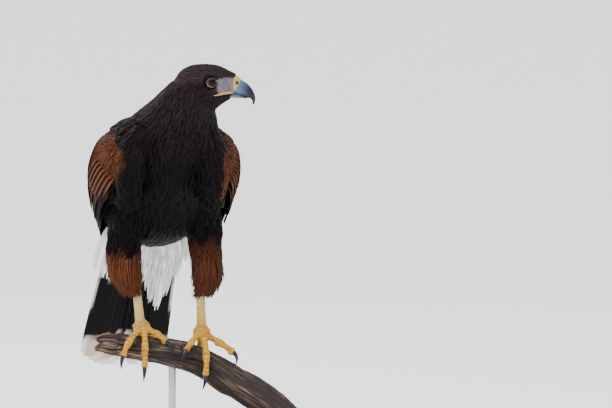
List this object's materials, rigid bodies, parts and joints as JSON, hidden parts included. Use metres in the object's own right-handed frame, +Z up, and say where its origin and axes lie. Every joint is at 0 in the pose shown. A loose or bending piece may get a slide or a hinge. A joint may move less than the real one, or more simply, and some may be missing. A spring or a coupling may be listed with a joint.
{
  "type": "harris hawk",
  "caption": "Still life-size bird of prey gripping a cut length of branch, its head turned aside, wings folded and tail hanging, on a plain oval stand.",
  "frame": {"origin": "centre of the underside of the stand's base", "axes": "+Z up, the bird faces -Y with its head turned towards +X, and its own left side is at +X"},
  "size_m": [0.2575, 0.3305, 0.4139],
  "materials": {
    "dark_feather": "soft dark brown contour feathers, nearly black on the breast",
    "rufous_feather": "chestnut feathers with dark centres",
    "white_feather": "soft white feathers",
    "tail_feather": "black flight feathers with a white band at the tip",
    "cere_skin": "yellow bare skin",
    "bill_horn": "slate blue horn, darker at the tip",
    "eye_glass": "glossy dark brown eye",
    "leg_scale": "yellow scaled skin",
    "claw_horn": "blue-black polished horn",
    "branch_wood": "weathered furrowed bark and bare wood",
    "stand_wood": "satin wood",
    "stand_steel": "brushed"
  },
  "bodies": {
    "root": {"torso": "dark_feather", "neck": "dark_feather", "head": "dark_feather", "cere": "cere_skin", "bill_upper": "bill_horn", "bill_lower": "bill_horn", "eye_right": "eye_glass", "eye_left": "eye_glass", "wing_right": "rufous_feather", "wing_left": "rufous_feather", "tail": "tail_feather", "uppertail_coverts": "white_feather", "undertail_coverts": "white_feather", "thigh_right": "rufous_feather", "thigh_left": "rufous_feather", "shank_right": "leg_scale", "shank_left": "leg_scale", "foot_right": "leg_scale", "foot_left": "leg_scale", "claw_right_1": "claw_horn", "claw_right_2": "claw_horn", "claw_right_3": "claw_horn", "claw_right_4": "claw_horn", "claw_left_1": "claw_horn", "claw_left_2": "claw_horn", "claw_left_3": "claw_horn", "claw_left_4": "claw_horn", "perch": "branch_wood", "stand_base": "stand_wood", "stand_rod_1": "stand_steel", "stand_rod_2": "stand_steel"}
  },
  "joints": []
}
